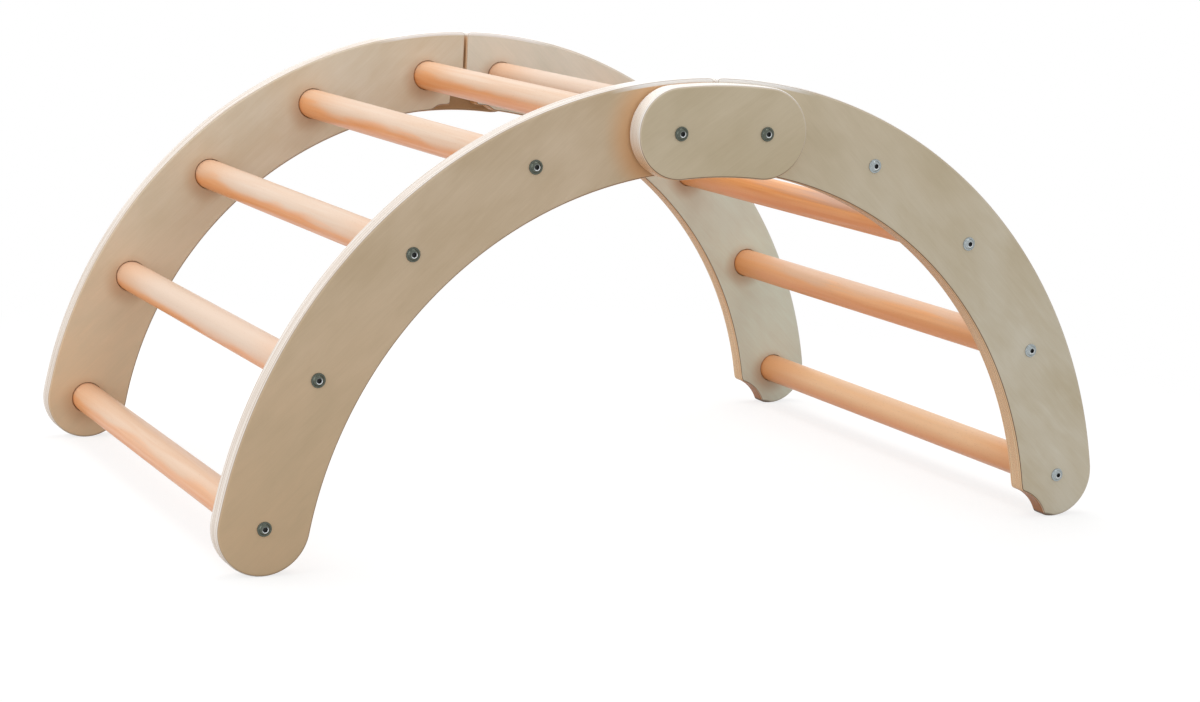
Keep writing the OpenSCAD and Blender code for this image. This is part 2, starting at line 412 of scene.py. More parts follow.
# %% Dowels
TOP_LIGHT_SHARES = {"left_rung_2": 0.25, "left_rung_3": 0.5, "left_rung_4": 0.85, "right_rung_1": 0.6,
           "right_rung_4": 0.35}      # the share of painted light on a dowel's top
dowels = []
for name, place in rung_places.items():
    rings = turned(profile, TURNED_COLUMNS)
    own = {"upward": rings[..., 2] / DOWEL_R,
           "sapwood": np.full(rings[..., 2].shape, TOP_LIGHT_SHARES.get(name, 0.0))}
    dowels.append(make_piece(name.replace("rung", "dowel"),
                             rings.reshape(-1, 3) + (place[0], 0, place[2]),
                             grid_faces(*rings.shape[:2]), name.split("_")[0] + "_half",
                             name, own))

# %% [markdown]
# ## Screws
# The heads are flanged button heads with a hexagon socket, cold-formed in one piece. A Boolean
# cut could sink the socket, but it leaves long thin faces round it. The head is turned like
# the dowels instead, and the rings of the socket follow a hexagon: the radius is the half
# width across the flats, divided by the cosine of the angle from the middle of the nearest
# flat. Two attributes carry painted light: painted shade inside the socket, and a painted
# glint on the top.

# %% Screw surface
FLANGE_R, FLANGE_T, DOME_R, FLAT_R, HEAD_H = 6.8, 1.1, 5.25, 2.9, 3.3
SOCKET_HALF, SOCKET_DEPTH, SHANK_R = 2.0, 2.4, 3.0
TIP_EASE, FILLET, SOCKET_EASE, SOCKET_DISH = 0.6, 0.15, 0.25, 0.35
FLANGE_STEPS, DOME_STEPS = 9, 10
rise = HEAD_H - FLANGE_T
drop = (DOME_R ** 2 - FLAT_R ** 2 - rise ** 2) / (2 * rise)
ball = math.hypot(DOME_R, drop)
print("the dome is part of a ball of radius", round(ball, 2), "mm")


def screw_profile(length):
    """(radius, height) rows from the tip to the socket's floor, and 1 for each row that
    follows the hexagon. The flange's rim is half a circle and the dome an arc of the ball."""
    q = np.radians(np.linspace(-90, 90, FLANGE_STEPS))
    lip = FLANGE_T / 2
    flange = np.column_stack([FLANGE_R - lip + lip * np.cos(q), lip + lip * np.sin(q)])
    s = np.linspace(math.atan2(DOME_R, drop), math.atan2(FLAT_R, drop + rise), DOME_STEPS)
    dome = np.column_stack([ball * np.sin(s), FLANGE_T - drop + ball * np.cos(s)])
    shank = [[0, -length], [SHANK_R - TIP_EASE, -length], [SHANK_R, -length + TIP_EASE],
             [SHANK_R, 0]]
    rows = np.vstack([shank, flange, [[DOME_R + FILLET, FLANGE_T]], dome])
    floor_h = HEAD_H - SOCKET_DEPTH
    socket = [[SOCKET_HALF + SOCKET_EASE, HEAD_H], [SOCKET_HALF, HEAD_H - SOCKET_EASE],
              [SOCKET_HALF, floor_h], [0, floor_h - SOCKET_DISH]]
    hexagon = np.r_[np.zeros(len(rows)), np.ones(len(socket))]
    return np.vstack([rows, socket]), hexagon[:, None]


# %% Screws on a board
TURN_EACH = 1.9             # radians from one screw's socket to the next one's
RIM_SHADE = 0.6            # share of the painted shade on the socket's rim
GLINT_X, GLINT_Z = 0.5, -0.87             # the painted glint is strongest on this side of the tops
GLINT_MEAN, GLINT_SWING, GLINT_LEAST = 0.5, 0.8, 0.1
RIM_BELOW, TOP_ROUND, OFF_AXIS = 0.1, 0.3, 0.1      # mm below the rim, round the flat top, and
                                                    # the least distance from the axis


def hexagonal(hexagon):
    """A bulge that turns the rings marked in hexagon into hexagons, by one over the cosine of
    the angle from the middle of the nearest flat."""
    def bulge(r, h, a):
        off = (a + np.pi / 6) % (np.pi / 3) - np.pi / 6
        return r * (1 + hexagon * (1 / np.cos(off) - 1))
    return bulge


def screws(places, seat, side, length, turn):
    """Screws at (x, z) places with their flanges seated at |y| = seat, as one mesh, with the
    share of painted socket shade and of painted glint for each point."""
    profile, hexagon = screw_profile(length)
    one = turned(profile, TURNED_COLUMNS, hexagonal(hexagon))
    own_x, own_y, own_z = (one[..., k].ravel() for k in range(3))
    points, faces = [], []
    for number, (x, z) in enumerate(places):
        c, s = math.cos(turn + TURN_EACH * number), math.sin(turn + TURN_EACH * number)
        points.append(np.column_stack([x + c * own_x - s * own_z, side * (seat + own_y),
                                       z + s * own_x + c * own_z]))
        faces += grid_faces(*one.shape[:2], number * own_x.size).tolist()
    points = np.vstack(points)
    copies = (len(places), one.shape[1])
    height = profile[:, 1:]
    # painted shade: the socket's rows are dark, and its rim partly
    painted_socket_shade = hexagon * np.where(height < HEAD_H - RIM_BELOW, 1, RIM_SHADE)
    around = points - np.repeat([(x, 0, z) for x, z in places], own_x.size, axis=0)
    from_axis = np.maximum(np.hypot(around[:, 0], around[:, 2]), OFF_AXIS)
    # painted glint on the flat top, strongest on the side towards +X and down
    glint_side = (around[:, 0] * GLINT_X + around[:, 2] * GLINT_Z) / from_axis
    top = (profile[:, :1] < FLAT_R + TOP_ROUND) * (height > HEAD_H - TOP_ROUND)
    glint = np.clip(GLINT_MEAN + GLINT_SWING * glint_side, GLINT_LEAST, 1)
    return points, faces, np.tile(painted_socket_shade, copies), np.tile(top, copies).ravel() * glint


print("a long screw's profile has", len(screw_profile(50.0)[0]), "rings")


# %% Screws
SCREW_L, PIVOT_SCREW_L, PIVOT_PLAY, FIRST_TURN = 30.0, 50.0, 0.3, 0.4
screw_pieces = []
cap_seat = PLATE_IN + PLY_T + PIVOT_PLAY
for number, (side, sign) in enumerate((("near", -1), ("far", 1))):
    for half in ("left", "right"):
        holes = [rung_places[f"{half}_rung_{i}"][[0, 2]] for i in range(1, 6)]
        turn = FIRST_TURN + number + len(half)
        for kind, places, seat, length in (
                ("screws", holes[1:], PANEL_IN + PLY_T, SCREW_L),
                ("pivot_screw", holes[:1], cap_seat, PIVOT_SCREW_L)):
            points, faces, in_socket, on_top = screws(places, seat, sign, length, turn)
            screw_pieces.append(make_piece(
                f"{side}_{half}_{kind}_turned", points, faces, f"{half}_half",
                f"{side}_{half}_{kind}",
                {"in_socket": in_socket, "on_top": on_top}))

# %% [markdown]
# ## Node helper and colours
# Colours are written as sRGB hex values and turned to linear light by one function. One small
# function adds a shader node of any kind with its settings and its inputs, and gives back the
# output that the next node reads.

# %% Node helper


def linear(hex_colour):
    """An sRGB hex value as the linear RGBA that shader sockets take."""
    c = np.array([int(hex_colour[i:i + 2], 16) for i in (1, 3, 5)]) / 255
    c = np.where(c <= 0.04045, c / 12.92, ((c + 0.055) / 1.055) ** 2.4)
    return (*c.tolist(), 1.0)


def add(tree, kind, inputs=(), out=0, **settings):
    """Adds a node and returns its output out, or the node itself if it has none. inputs lists
    what the first sockets get, or maps a socket's name or number to it: a value, an sRGB hex
    colour or the output of another node."""
    node = tree.nodes.new("ShaderNode" + kind)
    for key, value in settings.items():
        setattr(node, key, value)
    for key, value in (inputs.items() if isinstance(inputs, dict) else enumerate(inputs)):
        if isinstance(value, bpy.types.NodeSocket):
            tree.links.new(value, node.inputs[key])
        else:
            node.inputs[key].default_value = linear(value) if isinstance(value, str) else value
    return node.outputs[out] if node.outputs else node


COLOURS = {"out": 2, "data_type": "RGBA"}       # a Mix of colours gives them as its output 2
SMOOTH = {"interpolation_type": "SMOOTHSTEP"}   # a MapRange that eases in and out


def new_material(name):
    """An empty material and its node tree."""
    material = bpy.data.materials.new(name)
    material.use_nodes = True
    material.node_tree.nodes.clear()
    return material, material.node_tree


# %% [markdown]
# ## Birch plywood
# Birch plywood is peeled veneers, 1.4 mm thick, glued crosswise, pressed and sanded, which
# leaves half of each face veneer. An image on each face could show it, but would break off at
# the edges. A solid pattern suits it: the colour of a point depends on how deep it lies in the
# board, so the round-over and every cut show the plies by themselves. In these nodes a Mix
# blends the colours on its sockets 6 and 7 by the share on its socket 0, and a MapRange takes a
# value, the range it comes from and the range it goes to.
#
# First comes the place of a point: how deep it lies, which ply that is, and how far it is from
# the arch's centre, which tells the inner edge from the outer one.

# %% Plies and edges
PLY = 1.4
PLIES = PLY_T / PLY + 1     # counted with both face veneers whole
INNER_TO, OUTER_FROM = MID_R - 38, MID_R + 6    # mm from the arch's centre


def plies(tree, place, inner_face):
    """How deep a point lies from the inner face in metres, the number of its ply with a
    fraction, its distance in plies from the middle, and 1 in the core or 0 in a face veneer."""
    off_axis = add(tree, "Math", [add(tree, "SeparateXYZ", [place], "Y")], operation="ABSOLUTE")
    deep = add(tree, "Math", [off_axis, inner_face * MM], operation="SUBTRACT")
    ply = add(tree, "Math", [deep, 1 / (PLY * MM), 0.5], operation="MULTIPLY_ADD")
    from_middle = add(tree, "Math", [ply, PLIES / 2], operation="SUBTRACT")
    from_middle = add(tree, "Math", [from_middle], operation="ABSOLUTE")
    in_core = add(tree, "Math", [from_middle, PLIES / 2 - 1], operation="LESS_THAN")
    return deep, ply, from_middle, in_core


def edges_of(tree, place):
    """The distance from the arch's centre, and from that 0 on the inner edge to 1 on the
    outer edge."""
    xyz = add(tree, "SeparateXYZ", [place]).node.outputs
    over_centre = add(tree, "Math", [xyz["Z"], ARCH_CENTRE[1] * MM], operation="SUBTRACT")
    flat = add(tree, "CombineXYZ", {"X": xyz["X"], "Z": over_centre})
    reach = add(tree, "VectorMath", [flat], "Value", operation="LENGTH")
    outer = add(tree, "MapRange", [reach, INNER_TO * MM, OUTER_FROM * MM], **SMOOTH)
    return reach, outer


print("plies in a board:", PLIES)

# %% [markdown]
# The glue lines lie where the ply number is whole. The real ones are about 0.1 mm thick, too
# fine for the picture, so they are drawn 0.2 mm thick, and the ones under the face veneers,
# which the round-over cuts askew, 0.5 mm.

# %% Glue lines
NEAR_FACE, IN_FACE = 1.4, 0.7               # plies in from a face: wider lines, and none
LINE_FULL, LINE_GONE, WIDENED = 0.05, 0.11, 0.4
SHOWN_INSIDE, SHOWN_OUTSIDE = 0.9, 0.5      # the share of glue on the inner and outer edges


def glue_lines(tree, ply, from_middle, outer):
    """The share of dark glue: full within a twentieth of a ply from a whole ply number and
    gone at a ninth, less on the outer edge, where sanding has smeared it."""
    outermost = add(tree, "Math", [from_middle, PLIES / 2 - NEAR_FACE], operation="GREATER_THAN")
    width = add(tree, "MapRange", [outermost, 0, 1, 1.0, WIDENED])
    from_line = add(tree, "Math", [ply, 0.5], operation="PINGPONG")
    from_line = add(tree, "Math", [from_line, width], operation="MULTIPLY")
    glue = add(tree, "MapRange", [from_line, LINE_FULL, LINE_GONE, 1.0, 0.0])
    inside = add(tree, "Math", [from_middle, PLIES / 2 - IN_FACE], operation="LESS_THAN")
    glue = add(tree, "Math", [glue, inside], operation="MULTIPLY")
    shown = add(tree, "MapRange", [outer, 0, 1, SHOWN_INSIDE, SHOWN_OUTSIDE])
    return add(tree, "Math", [glue, shown], operation="MULTIPLY")


# %% [markdown]
# The cut edges show every other ply from its end. The outer edge is painted pale, as brightly
# lit. The inner edge is painted warm, darker up high as shade where it faces down, and paler
# towards the floor. The crown's butt faces and the fold slot are painted browner as shade, up
# to the outer edge. Each of these parts has a light and a dark tone, which the streaks of the
# grain blend.

# %% Core of the plywood
# painted light and shade on the cut edges: outer and plate are the brightly lit outer edges, high
# is the inner edge in shade up high and low its paler part near the floor, slot and butt are the
# shade in the fold slot and in the crown's gap
EDGE_TONES = {"low": ("#FFE5C0", "#F4C493"), "high": ("#E8B27A", "#C2844E"),
              "outer": ("#F7F2ED", "#CDBDAD"), "plate": ("#FFFDFA", "#F1E7DC"),
              "slot": ("#E8B67E", "#CC9359"), "butt": ("#F6DDBC", "#E9C79E")}
PLATE_SHADED_SHARE = 0.3    # of the high, shaded tone, on a link plate
# the painted shade of the fold slot and of the crown's butt gap fades out over these
SLOT_FADE, BUTT_FADE = (0.0315, 0.0335), (0.0016, 0.0028)       # metres from the middle
BUTT_TOP = (OUTER_R - 8) * MM, (OUTER_R - 4) * MM       # metres from the arch's centre
OWN_SHARE, EVERY_OTHER_SHARE, LIGHT_AT, DARK_AT = 0.3, 0.25, 0.45, 1.1


def core_colour(tree, place, ply, reach, outer, is_plate):
    """The colour of the cut plies, and the streaks in them. A ply's tone is its streaks, plus
    its own random number, plus a step on every other ply."""
    xyz = add(tree, "SeparateXYZ", [place]).node.outputs
    number = add(tree, "Math", [ply], operation="FLOOR")
    own_tone = add(tree, "TexWhiteNoise", {"W": number}, "Value", noise_dimensions="1D")
    # streaks 2 mm wide are coarser than the real pores, which would be too fine to show
    streaky = add(tree, "Mapping", {"Vector": place, "Scale": (9, 420, 9)})
    streak = add(tree, "TexNoise", {"Vector": streaky, "Scale": 1.0, "Detail": 1.0})
    every_other = add(tree, "Math", [number, 1.0], operation="PINGPONG")
    tone = add(tree, "Math", [own_tone, OWN_SHARE, streak], operation="MULTIPLY_ADD")
    tone = add(tree, "Math", [every_other, EVERY_OTHER_SHARE, tone], operation="MULTIPLY_ADD")
    tone = add(tree, "MapRange", [tone, LIGHT_AT, DARK_AT])
    parts = ("low", "high", "plate") if is_plate else ("low", "high", "outer", "slot", "butt")
    tones = {part: add(tree, "Mix", {0: tone, 6: EDGE_TONES[part][0], 7: EDGE_TONES[part][1]},
                       **COLOURS) for part in parts}

    # painted shade: the inner edge darker higher up, where it faces down
    shaded_up_high = PLATE_SHADED_SHARE if is_plate else add(tree, "MapRange", [xyz["Z"], 0.08, 0.4])
    warm = add(tree, "Mix", {0: shaded_up_high, 6: tones["low"], 7: tones["high"]}, **COLOURS)
    # painted light: the outer edge paler, as brightly lit
    pale = tones["plate" if is_plate else "outer"]
    core = add(tree, "Mix", {0: outer, 6: warm, 7: pale}, **COLOURS)
    if is_plate:
        return core, streak
    across = add(tree, "Math", [xyz["X"]], operation="ABSOLUTE")
    off_outer_edge = add(tree, "Math", [outer, 0.9], operation="LESS_THAN")
    under_edge = add(tree, "MapRange", [reach, *BUTT_TOP, 1.0, 0.0])
    # painted shade in the fold slot and in the crown's butt gap, off the outer edge
    for part, fade, limit in (("slot", SLOT_FADE, off_outer_edge), ("butt", BUTT_FADE, under_edge)):
        beside = add(tree, "MapRange", [across, *fade, 1.0, 0.0])
        share = add(tree, "Math", [beside, limit], operation="MULTIPLY")
        core = add(tree, "Mix", {0: share, 6: core, 7: tones[part]}, **COLOURS)
    return core, streak


# %% [markdown]
# The face is a calm, cloudy, pale birch: soft clouds about 100 mm across, blurred bands 10 mm
# wide along the grain, and 1 mm fibres. It is a little browner or greyer towards the floor from
# one board to the next. The inner face has its own tones: painted paler on the boards, where it
# gets more light, and painted dark on a link plate, where it lies in shade. The rim of a link
# plate's face has a painted highlight, except along the lower edge.

# %% Face of the plywood
# each noise has its scale, with features 1 / scale metres long on each axis, its detail and
# its distortion
FACE_NOISES = (((8, 14, 14), 3.0, 0.6), ((22, 90, 90), 2.0, 0.8), ((30, 700, 700), 3.0, 0.0))
FIBRE_SHARE, BAND_SHARE, CLOUD_METRES = 0.25, 0.35, 0.2
# the painted highlight along the round-over of a link plate's face
RIM_HIGHLIGHT_TONE, RIM_FADE, RIM_SHARE = "#FFF4E2", (PLY_T - 0.5, PLY_T - 0.15), 0.8


def face_colour(tree, place, grain_turn, ply, outer_tones, inner_tones, low_down):
    """The colour of the face veneers, and their fibres. The dark tone comes in with the sum of
    the clouds, the bands and the fibres, and the low one below the heights of low_down."""
    lengthwise = add(tree, "Mapping", {"Vector": place, "Rotation": (0, grain_turn, 0)})
    noises = []
    for scale, detail, distortion in FACE_NOISES:
        stretched = add(tree, "Mapping", {"Vector": lengthwise, "Scale": scale})
        noises.append(add(tree, "TexNoise", {"Vector": stretched, "Scale": 1.0, "Detail": detail,
                                             "Distortion": distortion}))
    cloud, band, fibre = noises
    figure = add(tree, "Math", [fibre, FIBRE_SHARE, cloud], operation="MULTIPLY_ADD")
    figure = add(tree, "Math", [band, BAND_SHARE, figure], operation="MULTIPLY_ADD")
    up = add(tree, "SeparateXYZ", [place], "Z")
    height = add(tree, "Math", [cloud, CLOUD_METRES, up], operation="MULTIPLY_ADD")
    is_outer = add(tree, "Math", [ply, PLIES / 2], operation="GREATER_THAN")
    light, dark, low = (add(tree, "Mix", {0: is_outer, 6: inside, 7: outside}, **COLOURS)
                        for inside, outside in zip(inner_tones, outer_tones))
    raised = add(tree, "MapRange", [height, *low_down], **SMOOTH)
    face = add(tree, "Mix", {0: raised, 6: low, 7: light}, **COLOURS)
    figured = add(tree, "MapRange", [figure, 0.55, 1.05, 0.0, 0.75])
    return add(tree, "Mix", {0: figured, 6: face, 7: dark}, **COLOURS), fibre


def painted_rim_highlight(tree, face, deep, outer):
    """The face of a link plate, with a painted highlight along its outer edge except on the flat
    outer face.
    """
    rim = add(tree, "MapRange", [deep, *(depth * MM for depth in RIM_FADE), RIM_SHARE, 0.0])
    share = add(tree, "Math", [rim, outer], operation="MULTIPLY")
    return add(tree, "Mix", {0: share, 6: face, 7: RIM_HIGHLIGHT_TONE}, **COLOURS)


# %% [markdown]
# Spots of painted light and shade lie on the wood: a warm reflection of the link plate beside
# it, soft shadows round the dowels' ends, and on the right boards painted shade in the hollow
# and under the foot. Each is a round spot that fades outwards, in all the plies or in a face
# veneer only. Beside the crown's edge, a strip of the face is painted as pale as the lit edge.

# %% Spots of painted light and shade, and the lit strip
ALL_PLIES, INNER_SKIN, OUTER_SKIN = (0, PLIES), (0, 1), (PLIES - 1, PLIES)
# painted warm reflection of the link plate on the near left board
plate_reflection_spot = (-pivot_x, pivot_z, 44, 72, 0.75, "#E9B580", OUTER_SKIN)
# painted shade in the hollow of the right feet
shaded_hollow = (*nest, 44.6, 45.4, 1.0, "#AE6C30", ALL_PLIES)
# painted contact shade under the right feet
foot_contact_shade = (foot_x - 14, -34, 37, 39.5, 0.8, "#4E3626", ALL_PLIES)
# painted soft shadows round the dowels' ends on the inner faces, set a little down and aside
dowel_shadows = {half: [(place[0] - 3, place[2] - 5, 14, 31, 0.5, "#BE946C", INNER_SKIN)
                     for name, place in rung_places.items() if name.startswith(half)]
              for half in ("left", "right")}
# a strip of the face beside the crown's edge, painted as pale as the lit edge
LIT_STRIP_TONE = "#FFFDFA"
STRIP_FROM = (OUTER_R - 5) * MM, (OUTER_R - 4) * MM     # metres from the arch's centre
CROWN_REACH = (0.08, 0.11)                              # metres from the middle


def with_spots(tree, wood, place, ply, spots):
    """The wood with its spots. A spot is its x and z, the radii in mm where it begins and ends
    to fade, its strength, its tone, and the range of plies that have it."""
    for x, z, start, end, strength, spot_tone, plies_with_it in spots:
        to_spot = add(tree, "VectorMath", [place, (x * MM, 0, z * MM)], operation="SUBTRACT")
        to_spot = add(tree, "VectorMath", [to_spot, (1, 0, 1)], operation="MULTIPLY")
        away = add(tree, "VectorMath", [to_spot], "Value", operation="LENGTH")
        share = add(tree, "MapRange", [away, start * MM, end * MM, strength, 0.0], **SMOOTH)
        for comparison, bound in zip(("GREATER_THAN", "LESS_THAN"), plies_with_it):
            within = add(tree, "Math", [ply, bound], operation=comparison)
            share = add(tree, "Math", [share, within], operation="MULTIPLY")
        wood = add(tree, "Mix", {0: share, 6: wood, 7: spot_tone}, **COLOURS)
    return wood


def lit_edge_strip(tree, wood, place, reach):
    """The wood with a strip along the last 4 mm of the face, near the crown only, painted as pale
    as the lit edge.
    """
    across = add(tree, "Math", [add(tree, "SeparateXYZ", [place], "X")], operation="ABSOLUTE")
    by_edge = add(tree, "MapRange", [reach, *STRIP_FROM])
    by_crown = add(tree, "MapRange", [across, *CROWN_REACH, 1.0, 0.0])
    share = add(tree, "Math", [by_edge, by_crown], operation="MULTIPLY")
    return add(tree, "Mix", {0: share, 6: wood, 7: LIT_STRIP_TONE}, **COLOURS)


print("painted dowel shadows:", {half: len(rims) for half, rims in dowel_shadows.items()})

# %% Plywood material
CHORD, PLATE_GRAIN = math.radians(43), 0.6  # angles of the face grain
GLUE_INNER, GLUE_OUTER = "#5E3519", "#A3876C"
FELT, FIBRE_DEPTH = 0.15, 0.0001            # how much the fibres are felt, and their metres


def satin_wood(material, tree, colour, rough, relief):
    """The surface of either wood here: satin, with fibres that can just be felt."""
    bump = add(tree, "Bump", {"Height": relief, "Strength": FELT, "Distance": FIBRE_DEPTH})
    surface = add(tree, "BsdfPrincipled", {"Base Color": colour, "Roughness": rough,
                                           "Normal": bump})
    add(tree, "OutputMaterial", {"Surface": surface})
    print(f"{material.name}: {len(tree.nodes)} nodes")
    return material


def birch_plywood(name, inner_face, grain_turn, outer_tones, inner_tones, spots=(),
                  is_plate=False, low_down=(0.06, 0.48)):
    """Birch plywood whose board has its inner face at |y| = inner_face, in mm. grain_turn is
    the angle of the face grain above the X axis, in radians. The tones are those of a face's
    light figure, its dark figure and its light figure low down, which fades out between the
    two heights of low_down, in metres."""
    material, tree = new_material(name)
    place = add(tree, "TexCoord", out="Object")
    deep, ply, from_middle, in_core = plies(tree, place, inner_face)
    reach, outer = edges_of(tree, place)
    glue = glue_lines(tree, ply, from_middle, outer)
    core, streak = core_colour(tree, place, ply, reach, outer, is_plate)
    face, fibre = face_colour(tree, place, grain_turn, ply, outer_tones, inner_tones, low_down)
    if is_plate:
        face = painted_rim_highlight(tree, face, deep, outer)
    wood = add(tree, "Mix", {0: in_core, 6: face, 7: core}, **COLOURS)
    wood = with_spots(tree, wood, place, ply, spots)
    if not is_plate:
        wood = lit_edge_strip(tree, wood, place, reach)
    glue_tone = add(tree, "Mix", {0: outer, 6: GLUE_INNER, 7: GLUE_OUTER}, **COLOURS)
    colour = add(tree, "Mix", {0: glue, 6: wood, 7: glue_tone}, **COLOURS)
    rough = add(tree, "MapRange", [fibre, 0.3, 0.7, 0.42, 0.54])
    relief = add(tree, "Mix", {0: in_core, 2: fibre, 3: streak}, data_type="FLOAT")
    return satin_wood(material, tree, colour, rough, relief)


# %% Plywood on its boards
# the inner tones are painted paler than the outer ones on the boards, as the inner faces get more
# light, and darker on the link plate, as its inner face lies in shade
finishes = {
    "left": birch_plywood("birch_plywood_left", PANEL_IN, CHORD,
                          ("#EAD6BA", "#D0B894", "#E3C5A0"), ("#EADFCC", "#D6C3A4", "#EBCBA6"),
                          [plate_reflection_spot, *dowel_shadows["left"]]),
    "right": birch_plywood("birch_plywood_right", PANEL_IN, -CHORD,
                           ("#E9DBC0", "#D2C4A4", "#ECE6D4"), ("#F4EADB", "#DAD6C4", "#EAF3E4"),
                           [shaded_hollow, foot_contact_shade, *dowel_shadows["right"]],
                           low_down=(0.26, 0.53)),
    "crown": birch_plywood("birch_plywood_plate", PLATE_IN, PLATE_GRAIN,
                           ("#E6D8BC", "#D0C09E", "#DDC8A4"), ("#BE9C74", "#A98257", "#B59168"),
                           is_plate=True)}
for piece in boards + plates:
    piece.data.materials.append(finishes[piece.name.split("_")[1]])

# %% [markdown]
# ## Beech dowels
# Beech is a warm wood with a paler sapwood, turned and oiled. A plain wood grain all round would
# look printed on. Each dowel's top is painted pale as lit from above, and the border between
# pale and warm wood wanders along its length like the wood's figure, with long soft streaks in
# both. Some dowels have more of this painted light on top, and it is paler. The underside is
# painted a deeper orange as warm shade, the wood is more orange towards both ends, and the
# lowest dowels are painted paler.

# %% Beech material
# the border's waves, streaks 4 mm wide, and flecks 0.8 mm wide, coarser than the real rays,
# which would be too fine to show
BEECH_NOISES = (((30, 5, 30), 2.0, 0.3), ((260, 6, 260), 3.0, 0.4), ((1200, 240, 1200), 1.0, 0.0))
WANDER, STREAKED, TOP_LIGHT_LIFT, BORDER_HALF = 2.4, 0.9, 0.45, 0.3
# the tones of the painted light on top, the painted shade underneath, the more orange ends and the
# flecks
TOP_LIGHT_TONE, UNDERSIDE_SHADE, END_ORANGE, FLECK = "#DAC4B1", "#F4964A", "#E29C62", "#A5683A"


def beech_dowel(name, border, warm_tones, pale_tones, low_tone, paler_low, orange_ends, underside):
    """Oiled beech. border is where the warm wood ends and the painted light on top begins: -1 at
    the bottom of a dowel, 1 at its top. The lowest dowels are painted paler with the share
    paler_low of the low tone. orange_ends and underside are the shares of two oranges at the
    ends and in the painted shade along the underside."""
    material, tree = new_material(name)
    place = add(tree, "TexCoord", out="Object")
    xyz = add(tree, "SeparateXYZ", [place]).node.outputs
    upward, sapwood = (add(tree, "Attribute", out="Fac", attribute_name=key)
                       for key in ("upward", "sapwood"))
    noises = []
    for scale, detail, distortion in BEECH_NOISES:
        stretched = add(tree, "Mapping", {"Vector": place, "Scale": scale})
        noises.append(add(tree, "TexNoise", {"Vector": stretched, "Scale": 1.0, "Detail": detail,
                                             "Distortion": distortion}))
    wander, streak, fleck = noises
    height = upward
    for wave, share in ((wander, WANDER), (streak, STREAKED)):
        centred = add(tree, "Math", [wave, 0.5], operation="SUBTRACT")
        height = add(tree, "Math", [centred, share, height], operation="MULTIPLY_ADD")
    # painted light: the dowel's top is pale above a border that wanders like the wood's figure
    height = add(tree, "Math", [sapwood, TOP_LIGHT_LIFT, height], operation="MULTIPLY_ADD")
    pale = add(tree, "MapRange", [height, border - BORDER_HALF, border + BORDER_HALF], **SMOOTH)
    streaks = add(tree, "MapRange", [streak, 0.35, 0.7])
    warm_wood, pale_wood = (add(tree, "Mix", {0: streaks, 6: first, 7: second}, **COLOURS)
                            for first, second in (warm_tones, pale_tones))
    # painted light: the lowest dowels paler
    low_down = add(tree, "MapRange", [xyz["Z"], 0.05, 0.26, paler_low, 0.0])
    # painted shade: a deeper orange along the underside
    under = add(tree, "MapRange", [upward, -0.6, 0.35, underside, 0.0], **SMOOTH)
    out_along = add(tree, "Math", [xyz["Y"]], operation="ABSOLUTE")
    # more orange towards both ends
    toward_ends = add(tree, "MapRange", [out_along, 0.13, 0.284, 0.0, orange_ends], **SMOOTH)
    flecks = add(tree, "MapRange", [fleck, 0.62, 0.75, 0.0, 0.16])
    pale_wood = add(tree, "Mix", {0: sapwood, 6: pale_wood, 7: TOP_LIGHT_TONE}, **COLOURS)
    wood = warm_wood
    for share, tone in ((pale, pale_wood), (low_down, low_tone), (under, UNDERSIDE_SHADE),
                        (toward_ends, END_ORANGE), (flecks, FLECK)):
        wood = add(tree, "Mix", {0: share, 6: wood, 7: tone}, **COLOURS)
    rough = add(tree, "MapRange", [streak, 0.3, 0.7, 0.32, 0.44])
    return satin_wood(material, tree, wood, rough, streak)


# %% Beech on its dowels
beech = {"left": beech_dowel("beech_dowel_left", 0.1, ("#E4AA79", "#DA925A"),
                             ("#DFC4AC", "#DAB799"), "#F2CBAC", 0.2, 0.4, 0.35),
         "right": beech_dowel("beech_dowel_right", 0.75, ("#F0AE6E", "#E49650"),
                              ("#D2A88C", "#CA9C80"), "#FFD8AC", 0.85, 0.75, 0.7)}
for piece in dowels:
    # the right half's crown dowel is of the same wood as the left half's dowels
    as_left = piece.name.startswith("left") or piece.name.endswith("_1")
    piece.data.materials.append(beech["left" if as_left else "right"])

# %% [markdown]
# ## Zinc-plated steel, nylon and brass
# The screws are cold-formed steel with a zinc plating: metallic and a little uneven. The left
# half's and all the pivot screws are painted with darker reflections, and the right half's other
# screws with lighter ones: two copies of one metal. Each top has a painted glint, and each
# socket painted shade: a second material there would end in a hard line, so the metal goes
# over to a dark, dull film. The spacers behind the plates are moulded nylon, and the inserts
# are turned brass.

# %% Small materials
# the tones of the painted glint on the screws' tops and of the painted shade in their sockets
GLINT_METAL, SOCKET_SHADE_TONE = "#F4F8FA", "#1A1D1E"


